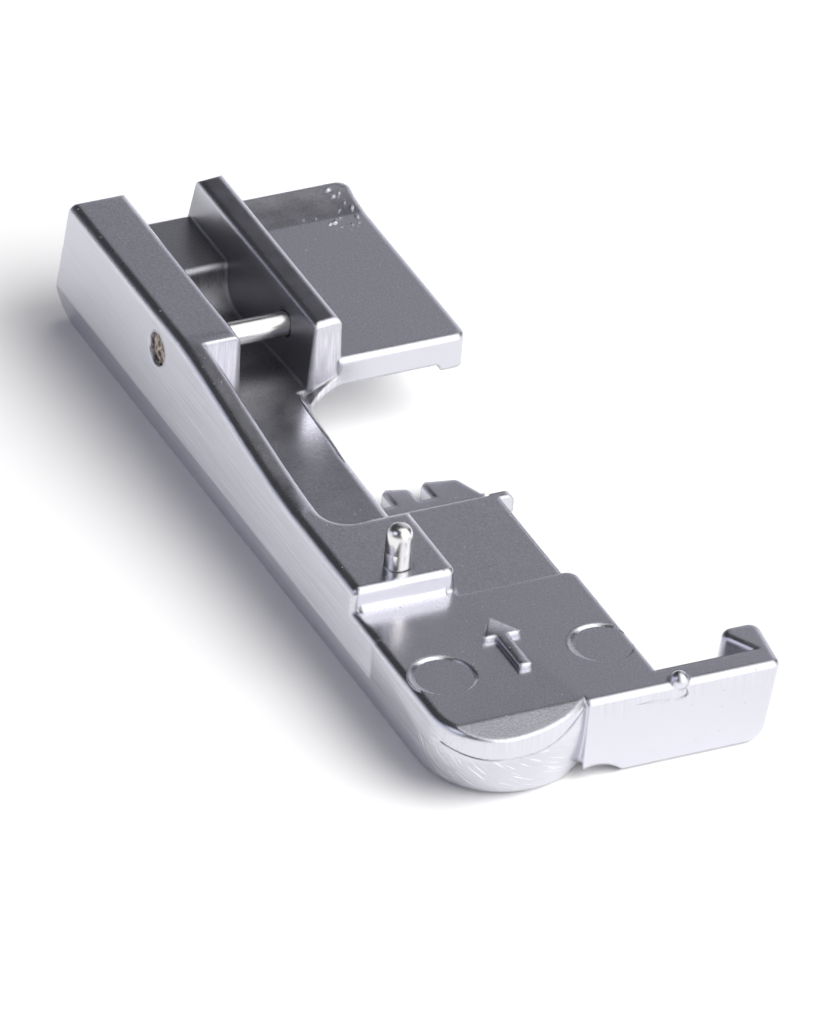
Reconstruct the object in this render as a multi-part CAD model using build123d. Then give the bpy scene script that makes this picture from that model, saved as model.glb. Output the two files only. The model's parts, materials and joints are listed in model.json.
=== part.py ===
from build123d import *
import math
import os

# Clip-on presser foot of an overlock sewing machine, of the kind that guides a piping cord.
# One plated die-casting carries a steel hinge pin between two ears and a short steel guide pin.
# Millimetres. X runs to the right, Y to the rear, Z up from the sole. While the casting is built,
# X counts from its left face and "forward" counts from its heel towards the toe, which is -Y.

# Heel: two ears, the web that joins them and the slot for the hinge pin
ear_height = 6.4
heel_lean = 0.6
heel_rounding = 0.8
left_ear_width = 2.8
left_ear_front = 12.3
slot_width = 3.4
right_ear_width = 1.24
right_ear_front = 12.45
right_ear_foot_front = 12.75
heel_underside = 2.6
ear_foot_reach = 0.15
ear_wall_draft = 0.25
ear_edge_radius = 0.28
ear_left_edge_radius = 0.4
web_height = 4.45
web_front = 4.5
web_wall_radius = 1.5
web_edge_radius = 0.3
slot_floor_height = 2.8
crest_forward = 12.0
crest_height = 3.25

# Hinge pin and its holes
pin_diameter = 1.1
pin_forward = 9.97
pin_height = 4.86
pin_end_recess = 0.35
pin_end_chamfer = 0.12
pin_hole_mouth_diameter = 1.5
pin_hole_mouth_depth = 0.6
pin_blind_depth = 0.95
pin_far_clearance = 0.05

# Long bar with its rail along the left side and the channel beside the rail
bar_width = 5.83
bar_right_edge_radius = 0.42
rail_width = 1.25
ramp_start = 11.4
ramp_start_pull = 0.2
ramp_end = 23.6
ramp_end_pull = 0.3
channel_bend_forward = 16.8
channel_bend_height = 2.65
channel_end_height = 2.45
channel_corner_radius = 1.2
side_bevel_width = 0.8
side_bevel_height = 2.1
side_draft = 0.1

# Wing to the right of the heel
wing_right = 13.5
wing_front = 12.75
wing_thickness = 1.28
wing_corner_radius = 0.6
wing_edge_radius = 0.26
wing_lip_width = 1.2
wing_lip_depth = 0.32
wing_lip_radius = 0.3
wing_strip_forward = 3.2
wing_strip_rise = 0.3
gusset_width = 1.77
gusset_length = 0.75
gusset_hollow = 0.12
gusset_inner_top = 2.92
gusset_outer_top = 3.8
gusset_inner_underside = 2.7

# Raised block and its guide pin
block_height = 5.05
block_rear = 24.65
block_front = 29.3
block_right = 4.85
block_corner_radius = 0.45
block_right_draft = 0.2
block_foot_radius = 0.35
guide_pin_diameter = 1.05
guide_pin_height = 1.97
guide_pin_seat_depth = 1.2
guide_pin_dome_radius = 0.42
guide_pin_from_left = 2.65
guide_pin_from_front = 1.1

# Middle land with its lug, and the main plate
middle_height = 3.7
middle_rear = 22.95
middle_right = 9.85
middle_edge_radius = 0.15
lug_reach = 0.7
lug_thickness = 0.4
lug_depth = 0.85
lug_radius = 0.3
plate_height = 4.0
plate_rear_gap = 0.25
plate_right = 10.25
plate_corner_radius = 0.5
plate_edge_radius = 0.12
plate_left_edge_radius = 0.35

# Toe lobe
toe_front = 39.5
toe_rear_gap = 1.95
toe_corner_width = 2.6
toe_right = 6.9
toe_right_forward = 38.1
toe_curl_height = 2.75
toe_curl_rise = 4.0
toe_front_draw_in = 1.5
toe_right_draw_in = 0.75
toe_sole_corner_width = 4.9
toe_bend_forward = 38.15
toe_bend_drop = 0.26

# Front wall, its bead and the tab at its right end
wall_front = 38.5
wall_thickness = 1.2
wall_right = 15.55
wall_foot_inset = 0.5
wall_foot_radius = 0.9
wall_top_radius = 0.28
wall_bottom_radius = 0.45
wall_root_depth = 0.3
bead_diameter = 0.82
bead_from_left = 10.85
bead_inset = 0.25
tab_rear = 35.4
tab_rear_left = 13.7
tab_front_left = 14.85
tab_rear_right = 15.95
tab_rear_radius = 0.5
tab_foot_reach = 0.35

# Needle notches at the sole
finger_height = 1.0
finger_left = 7.25
finger_tip_forward = 17.62
finger_tip_lead = 0.2
finger_tip_fall = 0.28
finger_tip_width = 1.27
finger_flank_width = 1.3
finger_flank_run = 1.05
finger_root_overlap = 0.6
last_finger_left = 9.1
last_tip_width = 1.65
last_flank_width = 2.25
last_flank_run = 1.45
notch_radius = 0.3
finger_tip_radius = 0.4
finger_top_radius = 0.2

# Cord groove in the sole
groove_radius = 1.7
groove_height = 1.5
groove_from_left = 4.4
groove_turn_forward = 24.0
groove_mouth_from_left = 7.2
groove_mouth_height = 0.7

# Rounded sections of the toe's curl, as shares of its height above the sole
toe_curl_steps = (0.0, 0.025, 0.095, 0.215, 0.38, 0.57, 0.785, 1.0)

# How far cuts run past the solid, how far joined pieces run into each other, the small step
# that keeps their faces apart, and how close an edge lies to the place where it's looked for
cut_reach = 4.0
cut_overrun = 1.0
join_overlap = 1.0
face_step = 0.05
edge_match = 0.02

plate_rear = block_front + plate_rear_gap
toe_rear = plate_rear + toe_rear_gap
overall_width = tab_rear_right
overall_length = toe_front
right_ear_left = left_ear_width + slot_width
right_ear_right = right_ear_left + right_ear_width
wing_underside = web_height - wing_thickness
clear_height = ear_height + cut_reach
clear_width = overall_width + cut_reach


def side_slab(outline, x_from, x_to):
    """Side view outline of (forward, height) points, spread across the foot."""
    wire = Polyline(*[(x_from, -forward, height) for forward, height in outline], close=True)
    return extrude(make_face(wire), amount=x_to - x_from, dir=(1, 0, 0))


def cross_slab(outline, forward_from, forward_to):
    """Front view outline of (x, height) points, run along the foot."""
    wire = Polyline(*[(x, -forward_from, height) for x, height in outline], close=True)
    return extrude(make_face(wire), amount=forward_to - forward_from, dir=(0, -1, 0))


def plan_slab(outline, z_from, z_to):
    """Plan outline of (x, forward) points, raised from one height to another."""
    wire = Polyline(*[(x, -forward, z_from) for x, forward in outline], close=True)
    return extrude(make_face(wire), amount=z_to - z_from, dir=(0, 0, 1))


def lies_at(low, high, place):
    """True if both ends of a range lie at the given place."""
    return place is None or max(abs(low - place), abs(high - place)) < edge_match


def near(shape, x=None, forward=None, height=None):
    """Edges whose whole length lies at the given x, forward or height values."""
    chosen = []
    for edge in shape.edges():
        box = edge.bounding_box()
        fits = lies_at(box.min.X, box.max.X, x) and lies_at(box.min.Z, box.max.Z, height)
        if fits and lies_at(-box.max.Y, -box.min.Y, forward):
            chosen.append(edge)
    return chosen


def ramp_curve():
    """Top of the rail, from the ear's full height down to the block's height."""
    span = ramp_end - ramp_start
    return Bezier(
        (0, -ramp_start, ear_height),
        (0, -ramp_start - ramp_start_pull * span, ear_height),
        (0, -ramp_end + ramp_end_pull * span, block_height),
        (0, -ramp_end, block_height),
    )


def bar_blank(width):
    """Solid bar from the heel to the block's front face, at the rail's height all along."""
    ramp = ramp_curve()
    rear = Polyline(
        (0, -block_front, block_height),
        (0, -block_front, 0),
        (0, -heel_rounding, 0),
    )
    foot = ThreePointArc(
        (0, -heel_rounding, 0),
        (0, -heel_rounding * (1 - math.sin(math.pi / 4)), heel_rounding * (1 - math.cos(math.pi / 4))),
        (0, 0, heel_rounding),
    )
    back = Polyline((0, 0, heel_rounding), (0, -heel_lean, ear_height), (0, -ramp_start, ear_height))
    land = Line((0, -ramp_end, block_height), (0, -block_front, block_height))
    outline = Wire([*rear.edges(), *foot.edges(), *back.edges(), *ramp.edges(), *land.edges()])
    return extrude(Face(outline), amount=width, dir=(1, 0, 0))


def floor_void():
    """Everything above the web, the slot floor and the channel floor, as far as the block."""
    arc_foot = (web_front + web_wall_radius, slot_floor_height)
    arc_top = (web_front, slot_floor_height + web_wall_radius)
    turn = math.pi / 4
    arc_middle = (
        web_front + web_wall_radius * (1 - math.cos(turn)),
        slot_floor_height + web_wall_radius * (1 - math.sin(turn)),
    )
    wall = ThreePointArc(*[(0, -forward, height) for forward, height in (arc_top, arc_middle, arc_foot)])
    rest = [
        arc_foot,
        (crest_forward, crest_height),
        (channel_bend_forward, channel_bend_height),
        (block_rear, channel_end_height),
        (block_rear, clear_height),
        (-heel_rounding, clear_height),
        (-heel_rounding, web_height),
        (web_front, web_height),
        arc_top,
    ]
    border = Polyline(*[(0, -forward, height) for forward, height in rest])
    outline = Wire([*wall.edges(), *border.edges()])
    return extrude(Face(outline), amount=clear_width, dir=(1, 0, 0))


def slot_void():
    """Space between the ears, a little wider at the top than at the floor."""
    foot = crest_height - cut_overrun
    outline = [
        (left_ear_width + ear_wall_draft, foot),
        (left_ear_width, ear_height),
        (left_ear_width, clear_height),
        (clear_width, clear_height),
        (clear_width, foot),
    ]
    return cross_slab(outline, -heel_rounding, left_ear_front)


def channel_void():
    """Space beside the rail, with a rounded corner where the rail meets the block."""
    outline = [
        (rail_width, left_ear_front - face_step),
        (rail_width, block_rear),
        (clear_width, block_rear),
        (clear_width, left_ear_front - face_step),
    ]
    pocket = plan_slab(outline, slot_floor_height - cut_overrun, clear_height)
    return fillet(near(pocket, x=rail_width, forward=block_rear), channel_corner_radius)


def left_envelope():
    """Space kept by the left side: drafted above its parting edge and bevelled below it."""
    outline = [
        (side_bevel_width, 0),
        (0, side_bevel_height),
        (side_draft, ear_height),
        (side_draft, clear_height),
        (clear_width, clear_height),
        (clear_width, 0),
    ]
    return cross_slab(outline, -cut_overrun, overall_length + cut_overrun)


def heel_envelope():
    """Space kept by the leaning heel face."""
    slope = heel_lean / ear_height
    outline = [
        (0, 0),
        (slope * clear_height, clear_height),
        (overall_length + cut_overrun, clear_height),
        (overall_length + cut_overrun, 0),
    ]
    return side_slab(outline, -cut_overrun, clear_width)


def block_step():
    """Space to the right of the block, above the middle land; the block widens towards its foot."""
    outline = [
        (block_right, block_height),
        (block_right + block_right_draft, middle_height),
        (clear_width, middle_height),
        (clear_width, clear_height),
        (block_right, clear_height),
    ]
    return cross_slab(outline, block_rear - face_step, block_front + cut_overrun)


def bar():
    """Long bar with the left ear, the rail, the slot and channel floors and the raised block."""
    hollow = (slot_void() + channel_void()) & floor_void()
    body = bar_blank(bar_width) - hollow
    floor_edges = [edge for edge in near(body, x=bar_width) if on_channel(edge)]
    body = fillet(floor_edges, bar_right_edge_radius)
    heel_block = [
        (bar_width - join_overlap, -cut_overrun),
        (right_ear_left, -cut_overrun),
        (right_ear_left, right_ear_foot_front - face_step),
        (bar_width - join_overlap, right_ear_foot_front - face_step),
    ]
    heel = bar_blank(right_ear_left) & plan_slab(heel_block, heel_underside, clear_height)
    body = ((body + (heel - hollow)) - block_step()) & left_envelope()
    corner = [edge for edge in near(body, forward=block_front) if on_block_corner(edge)]
    body = fillet(corner, block_corner_radius)
    body = fillet(body.edges().filter_by(lambda edge: on_left_crown(edge)), ear_left_edge_radius)
    crown = [edge for edge in body.edges() if on_crown(edge) and not on_left_side(edge)]
    body = fillet(crown, ear_edge_radius)
    web_rim = near(body, height=web_height)
    across = [edge for edge in web_rim if edge.bounding_box().size.X > slot_width / 2]
    return fillet(across, web_edge_radius)


def on_channel(edge):
    """True for the edges along the channel floor and the slot floor in front of its crest."""
    box = edge.bounding_box()
    behind_block = -box.min.Y < block_rear + edge_match
    return -box.max.Y > crest_forward - edge_match and behind_block and box.size.Y > face_step


def on_block_corner(edge):
    """True for the upright edge at the block's front right corner."""
    box = edge.bounding_box()
    return abs(box.min.X - block_right) < edge_match and box.size.Z > (block_height - middle_height) / 2


def on_left_side(edge):
    """True for long edges along the left side."""
    box = edge.bounding_box()
    return box.max.X < ear_left_edge_radius + side_bevel_width / 4 and box.size.Y > heel_lean


def on_left_crown(edge):
    """True for the top edges of the ear, the ramp and the block along the left side."""
    box = edge.bounding_box()
    on_top = box.min.Z > block_height - edge_match and box.size.Y > heel_lean
    return on_top and box.max.X < side_draft + edge_match


def on_crown(edge):
    """True for the edges round the ear's top, the ramp and the block's top."""
    box = edge.bounding_box()
    on_ear = lies_at(box.min.Z, box.max.Z, ear_height)
    on_block = lies_at(box.min.Z, box.max.Z, block_height)
    on_ramp = box.max.Z > (ear_height + block_height) / 2 and abs(box.min.Z - block_height) < edge_match
    return on_ear or on_block or on_ramp


def right_ear():
    """Right ear, wider at its foot than at its top, with a front face that leans back."""
    front_view = [
        (right_ear_left - ear_wall_draft, wing_underside),
        (right_ear_left, ear_height),
        (right_ear_right, ear_height),
        (right_ear_right + side_draft, wing_underside),
    ]
    side_view = [
        (0, wing_underside),
        (0, ear_height),
        (right_ear_front, ear_height),
        (right_ear_foot_front, wing_underside),
    ]
    ear = cross_slab(front_view, 0, right_ear_foot_front) & side_slab(side_view, 0, clear_width)
    ear = fillet(near(ear & heel_envelope(), height=ear_height), ear_edge_radius)
    foot_outline = [
        (right_ear_left - ear_wall_draft, 0),
        (right_ear_left + ear_foot_reach, 0),
        (right_ear_left + ear_foot_reach, right_ear_foot_front - face_step),
        (right_ear_left - ear_wall_draft, right_ear_foot_front - face_step),
    ]
    foot = plan_slab(foot_outline, heel_underside, wing_underside + face_step)
    return ear + (foot & heel_envelope())


def wing():
    """Flat wing to the right of the heel, with its raised rear strip and the lip below its right edge."""
    strip_top = web_height + wing_strip_rise
    outline = [
        (0, wing_underside - wing_lip_depth),
        (0, strip_top),
        (wing_strip_forward / 2, strip_top),
        (wing_strip_forward, web_height),
        (wing_front, web_height),
        (wing_front, wing_underside - wing_lip_depth),
    ]
    inner = right_ear_right - face_step
    plate = side_slab(outline, inner, wing_right) & heel_envelope()
    hollow = Box(
        wing_right - wing_lip_width - inner + cut_overrun,
        wing_front + 2 * cut_overrun,
        wing_lip_depth + cut_overrun,
        align=(Align.MIN, Align.MAX, Align.MAX),
    )
    hollow = hollow.moved(Location((inner - cut_overrun, cut_overrun, wing_underside)))
    hollow = fillet(near(hollow, x=wing_right - wing_lip_width, height=wing_underside), wing_lip_radius)
    plate = plate - hollow
    corners = [edge for edge in near(plate, x=wing_right) if edge.bounding_box().size.Z > wing_thickness]
    plate = fillet(corners, wing_corner_radius)
    rim = plate.edges().filter_by(lambda edge: on_wing_rim(edge, inner, strip_top))
    return fillet(rim, wing_edge_radius)


def on_wing_rim(edge, inner, strip_top):
    """True for the edges round the wing's upper face, apart from the one inside the right ear."""
    box = edge.bounding_box()
    upper = box.min.Z > web_height - edge_match and box.max.Z < strip_top + edge_match
    outside = box.max.X > inner + edge_match
    between = -box.max.Y > heel_lean and -box.min.Y < wing_front - wing_corner_radius
    across = box.size.X > wing_corner_radius and between
    return upper and outside and not across


def gusset():
    """Inner corner between the wing's front face and the bar, hollowed in plan and sloping to the bar."""
    inner = bar_width - bar_right_edge_radius
    outer = bar_width + gusset_width
    rear = wing_front - face_step
    middle_x = bar_width + gusset_width / 2 - gusset_hollow
    middle_forward = wing_front + gusset_length / 2 - gusset_hollow
    corner = Polyline(
        (outer, -wing_front, 0),
        (outer, -rear, 0),
        (inner, -rear, 0),
        (inner, -wing_front - gusset_length, 0),
        (bar_width, -wing_front - gusset_length, 0),
    )
    arc = ThreePointArc(
        (bar_width, -wing_front - gusset_length, 0),
        (middle_x, -middle_forward, 0),
        (outer, -wing_front, 0),
    )
    column = extrude(Face(Wire([*corner.edges(), *arc.edges()])), amount=clear_height, dir=(0, 0, 1))
    slope = [
        (bar_width, gusset_inner_underside),
        (outer, wing_underside),
        (outer, gusset_outer_top),
        (bar_width, gusset_inner_top),
        (inner, gusset_inner_top - bar_right_edge_radius / 2),
        (inner, gusset_inner_underside - bar_right_edge_radius / 2),
    ]
    return column & cross_slab(slope, rear, wing_front + gusset_length)


def middle():
    """Land between the block and the needle opening, with the thin lug at its rear right corner."""
    outline = [
        (block_right - join_overlap, middle_rear),
        (middle_right, middle_rear),
        (middle_right, plate_rear + join_overlap),
        (block_right - join_overlap, plate_rear + join_overlap),
    ]
    land = plan_slab(outline, 0, middle_height)
    land = fillet(near(land, forward=middle_rear, height=middle_height), middle_edge_radius)
    lug = Box(
        lug_reach + lug_radius,
        lug_thickness,
        lug_depth,
        align=(Align.MIN, Align.MAX, Align.MAX),
    )
    lug = lug.moved(Location((middle_right - lug_radius, -middle_rear, middle_height)))
    tip = near(lug, x=middle_right + lug_reach, height=middle_height)
    return land + fillet(tip, lug_radius)


def finger(left, tip_width, flank_width, flank_run):
    """One hooked finger: rounded at its tip and its top, with a flank that falls away to the right."""
    corner_forward = finger_tip_forward + finger_tip_fall
    flank_forward = corner_forward + flank_run
    root = flank_forward + finger_root_overlap
    outline = [
        (left, root),
        (left, finger_tip_forward + finger_tip_lead),
        (left + finger_tip_lead, finger_tip_forward),
        (left + tip_width, corner_forward),
        (left + flank_width, flank_forward),
        (left + flank_width, root),
    ]
    body = plan_slab(outline, 0, finger_height)
    tip = near(body, x=left + tip_width, forward=corner_forward)
    body = fillet(tip, finger_tip_radius)
    rim = [edge for edge in near(body, height=finger_height) if -edge.bounding_box().max.Y < flank_forward]
    return fillet(rim, finger_top_radius)


def fingers():
    """Fingers at the sole behind the middle land; the notches beside them let the needles pass."""
    first = finger(finger_left, finger_tip_width, finger_flank_width, finger_flank_run)
    last = finger(last_finger_left, last_tip_width, last_flank_width, last_flank_run)
    notch_forward = finger_tip_forward + finger_tip_fall + finger_flank_run
    last_flank_forward = finger_tip_forward + finger_tip_fall + last_flank_run
    root_left = bar_width - join_overlap / 2
    root_right = last_finger_left + last_flank_width
    root = plan_slab(
        [
            (root_left, notch_forward),
            (last_finger_left + notch_radius, notch_forward),
            (root_right, last_flank_forward),
            (middle_right, middle_rear - lug_reach),
            (middle_right, middle_rear + join_overlap),
            (root_left, middle_rear + join_overlap),
        ],
        0,
        finger_height,
    )
    return Part() + [root, first, last]


def plate():
    """Main plate from the block's foot to the front wall."""
    root = plate_rear - join_overlap
    outline = [
        (0, root),
        (block_right, root),
        (block_right, plate_rear),
        (plate_right, plate_rear),
        (plate_right, wall_front - wall_thickness / 2),
        (toe_corner_width, wall_front - wall_thickness / 2),
        (toe_corner_width, toe_rear),
        (0, toe_rear),
    ]
    body = plan_slab(outline, 0, plate_height)
    body = fillet(near(body, x=plate_right, forward=plate_rear), plate_corner_radius)
    rim = [edge for edge in near(body, height=plate_height) if on_plate_rim(edge)]
    body = fillet(rim, plate_edge_radius) & left_envelope()
    left_edge = [edge for edge in near(body, height=plate_height) if edge.bounding_box().max.X < side_draft]
    return fillet(left_edge, plate_left_edge_radius)


def block_foot():
    """Rounded inner corner along the foot of the block's front face."""
    radius = block_foot_radius
    hollow = radius * (1 - math.cos(math.pi / 4))
    left = plate_left_edge_radius + side_draft
    corner = Polyline(
        (left, -block_front - radius, plate_height),
        (left, -block_front - radius, plate_height - face_step),
        (left, -block_front + face_step, plate_height - face_step),
        (left, -block_front + face_step, plate_height + radius),
        (left, -block_front, plate_height + radius),
    )
    arc = ThreePointArc(
        (left, -block_front, plate_height + radius),
        (left, -block_front - hollow, plate_height + hollow),
        (left, -block_front - radius, plate_height),
    )
    length = block_right - block_corner_radius - left
    return extrude(Face(Wire([*corner.edges(), *arc.edges()])), amount=length, dir=(1, 0, 0))


def on_plate_rim(edge):
    """True for the plate's top edges beside the middle land and the needle opening."""
    box = edge.bounding_box()
    at_right = box.min.X > plate_right - edge_match
    beside_block = box.min.X > block_right - edge_match
    at_rear = -box.max.Y > plate_rear - edge_match
    before_side = -box.min.Y < plate_rear + plate_corner_radius + edge_match
    return at_right or (beside_block and at_rear and before_side)


def toe_curl(height):
    """How far the toe's face has drawn in at this height: 0 at the rim and 1 at the sole."""
    top = math.sqrt(1 - (1 - toe_curl_height / toe_curl_rise) ** 2)
    here = math.sqrt(1 - (1 - min(height, toe_curl_height) / toe_curl_rise) ** 2)
    return 1 - here / top


def toe_section(height):
    """Outline of the toe lobe at one height: it draws in towards the sole all round its front."""
    curl = toe_curl(height)
    left = side_bevel_width * max(0, 1 - height / side_bevel_height)
    corner_width = toe_corner_width + curl * (toe_sole_corner_width - toe_corner_width)
    corner = corner_width - left
    front = toe_front - curl * toe_front_draw_in
    right = toe_right_forward - curl * toe_right_draw_in
    side = Line((left, -toe_rear, height), (left, corner - front, height))
    turn = TangentArc((left, corner - front, height), (corner_width, -front, height), tangent=(0, -1, 0))
    bow = TangentArc((corner_width, -front, height), (toe_right, -right, height), tangent=(1, 0, 0))
    back = Polyline((toe_right, -right, height), (toe_right, -toe_rear, height), (left, -toe_rear, height))
    return Face(Wire([*side.edges(), *turn.edges(), *bow.edges(), *back.edges()]))


def toe_lobe():
    """Rounded toe whose underside curls up like a ski, below an upright rim."""
    low = [share * side_bevel_height for share in toe_curl_steps]
    high = [side_bevel_height, (side_bevel_height + toe_curl_height) / 2, toe_curl_height]
    lower = loft([toe_section(height) for height in low])
    upper = loft([toe_section(height) for height in high])
    rim = extrude(toe_section(toe_curl_height), amount=plate_height - toe_curl_height, dir=(0, 0, 1))
    top = [edge for edge in near(rim, height=plate_height) if on_toe_rim(edge)]
    lobe = Part() + [lower, upper, fillet(top, plate_left_edge_radius)]
    bend = [
        (toe_bend_forward, plate_height),
        (toe_front, plate_height - toe_bend_drop),
        (toe_front + cut_overrun, plate_height - toe_bend_drop),
        (toe_front + cut_overrun, clear_height),
        (toe_bend_forward, clear_height),
    ]
    return lobe - side_slab(bend, -cut_overrun, toe_right + cut_overrun)


def on_toe_rim(edge):
    """True for the toe's top edges along its left side and round its front."""
    box = edge.bounding_box()
    return -box.min.Y > toe_rear + edge_match and box.min.X < toe_right - edge_match


def slanted_slab(outline, forward_from, forward_to, drift):
    """Front view outline of (x, height) points, run along the foot while it drifts sideways."""
    wire = Polyline(*[(x, -forward_from, height) for x, height in outline], close=True)
    run = Vector(drift, forward_from - forward_to, 0)
    return extrude(make_face(wire), amount=run.length, dir=run.normalized())


def wall_end_envelope():
    """Space kept by the wall's right end: it leans in towards the sole and is rounded at its foot."""
    drift = (tab_rear_right - wall_right) / (wall_front - tab_rear)
    front = wall_front + cut_overrun
    end = wall_right - drift * cut_overrun
    outline = [
        (0, 0),
        (end - wall_foot_inset, 0),
        (end, plate_height),
        (end, clear_height),
        (0, clear_height),
    ]
    rear = tab_rear - cut_overrun
    prism = slanted_slab(outline, front, rear, drift * (front - rear))
    foot = prism.edges().filter_by(lambda edge: touches(edge, end - wall_foot_inset, front, 0))
    foot = [edge for edge in foot if edge.bounding_box().size.Y > cut_overrun]
    return fillet(foot, wall_foot_radius)


def tab():
    """Slanted tab that runs back from the wall's right end."""
    outline = [
        (tab_rear_left - tab_foot_reach, 0),
        (tab_rear_left, plate_height),
        (clear_width, plate_height),
        (clear_width, 0),
    ]
    slant = (tab_front_left - tab_rear_left) / (wall_front - wall_thickness - tab_rear)
    return slanted_slab(outline, tab_rear, wall_front, slant * (wall_front - tab_rear))


def front_wall():
    """Wall across the front with the slanted tab that closes its right end."""
    outline = [
        (toe_right - wall_root_depth, wall_front),
        (clear_width, wall_front),
        (clear_width, wall_front - wall_thickness),
        (toe_right - wall_root_depth, wall_front - wall_thickness),
    ]
    body = (plan_slab(outline, 0, plate_height) + tab()) & wall_end_envelope()
    tab_corners = [upright(body, tab_rear_left, tab_rear), upright(body, tab_rear_right, tab_rear)]
    body = fillet(tab_corners, tab_rear_radius)
    body = fillet(upright(body, wall_right, wall_front), wall_bottom_radius)
    return fillet(near(body, forward=wall_front, height=plate_height), wall_top_radius)


def touches(edge, x, forward, height):
    """True if one end of the edge lies at the given place."""
    place = Vector(x, -forward, height)
    return min((edge.position_at(0) - place).length, (edge.position_at(1) - place).length) < face_step


def upright(shape, x, forward):
    """The steep edge that ends at the plate's height at the given place in plan."""
    steep = [edge for edge in shape.edges() if edge.bounding_box().size.Z > plate_height / 2]
    return [edge for edge in steep if touches(edge, x, forward, plate_height)][0]


def bead():
    """Round mark on the front wall's top edge that shows where the knife cuts."""
    centre = (bead_from_left, -(wall_front - bead_inset), plate_height)
    return Sphere(bead_diameter / 2).moved(Location(centre))


def cord_groove():
    """Groove along the sole for the covered cord, slanted and shallower towards its mouth."""
    turn = (groove_from_left, -groove_turn_forward, groove_height - groove_radius)
    mouth = (groove_mouth_from_left, -wall_front, groove_mouth_height - groove_radius)
    straight = Plane(origin=turn, z_dir=(0, 1, 0)) * Cylinder(
        groove_radius, groove_turn_forward + cut_overrun, align=(Align.CENTER, Align.CENTER, Align.MIN)
    )
    run = Vector(mouth) - Vector(turn)
    slanted = Plane(origin=turn, z_dir=run) * Cylinder(
        groove_radius, run.length + cut_overrun, align=(Align.CENTER, Align.CENTER, Align.MIN)
    )
    knuckle = Sphere(groove_radius).moved(Location(turn))
    return Part() + [straight, knuckle, slanted]


def pin_holes():
    """Holes for the hinge pin: through the left ear and blind in the right one."""
    axis = Plane(origin=(0, -pin_forward, pin_height), z_dir=(1, 0, 0))
    start = (Align.CENTER, Align.CENTER, Align.MIN)
    near_hole = axis * Cylinder(pin_diameter / 2, right_ear_left, align=start)
    mouth = Cylinder(pin_hole_mouth_diameter / 2, pin_hole_mouth_depth + cut_overrun, align=start)
    mouth = axis.offset(-cut_overrun) * mouth
    far = axis.offset(right_ear_left - ear_wall_draft)
    far_depth = pin_blind_depth + ear_wall_draft
    far_hole = far * Cylinder(pin_diameter / 2 + pin_far_clearance, far_depth, align=start)
    return near_hole + mouth + far_hole


def guide_pin_place():
    """Foot of the guide pin, on the block's top."""
    return (guide_pin_from_left, -(block_front - guide_pin_from_front), block_height)


def guide_pin_hole():
    """Blind seat of the guide pin in the block."""
    from_top = (Align.CENTER, Align.CENTER, Align.MAX)
    seat = Cylinder(guide_pin_diameter / 2, guide_pin_seat_depth, align=from_top)
    return seat.moved(Location(guide_pin_place()))


def foot_body():
    """The whole die-casting."""
    casting = bar() + plate() + block_foot() + toe_lobe() + front_wall() + bead()
    casting = casting + middle() + fingers() + wing() + gusset() + right_ear()
    return casting - cord_groove() - pin_holes() - guide_pin_hole()


def hinge_pin():
    """Steel cross pin that the presser bar's ankle snaps onto."""
    length = right_ear_left + pin_blind_depth - pin_end_recess
    pin = Cylinder(pin_diameter / 2, length, align=(Align.CENTER, Align.CENTER, Align.MIN))
    pin = chamfer(pin.edges().filter_by(GeomType.CIRCLE), pin_end_chamfer)
    return Plane(origin=(pin_end_recess, -pin_forward, pin_height), z_dir=(1, 0, 0)) * pin


def guide_pin():
    """Steel guide pin with a domed top, pressed into the block."""
    length = guide_pin_height + guide_pin_seat_depth
    pin = Cylinder(guide_pin_diameter / 2, length, align=(Align.CENTER, Align.CENTER, Align.MIN))
    pin = fillet(pin.edges().group_by(Axis.Z)[-1], guide_pin_dome_radius)
    x, y, z = guide_pin_place()
    return pin.moved(Location((x, y, z - guide_pin_seat_depth)))


def in_frame(pieces):
    """Moves the pieces so that the casting's box stands centred over the origin."""
    box = pieces["foot_body"].bounding_box()
    shift = Location((-box.center().X, -box.center().Y, -box.min.Z))
    return {name: piece.moved(shift) for name, piece in pieces.items()}


if __name__ == "__main__":
    os.makedirs("parts", exist_ok=True)
    pieces = {"foot_body": foot_body(), "hinge_pin": hinge_pin(), "guide_pin": guide_pin()}
    for name, piece in in_frame(pieces).items():
        export_step(piece, f"parts/{name}.step")
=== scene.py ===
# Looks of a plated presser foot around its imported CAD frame: the casting and its two steel pins,
# on a plain pale table under soft studio light. The foot's sizes and places are in mm, and the
# studio's are in metres.

import json
import logging
import math
from dataclasses import dataclass, field
from enum import Enum

import bpy
from mathutils import Matrix, Vector

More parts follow.
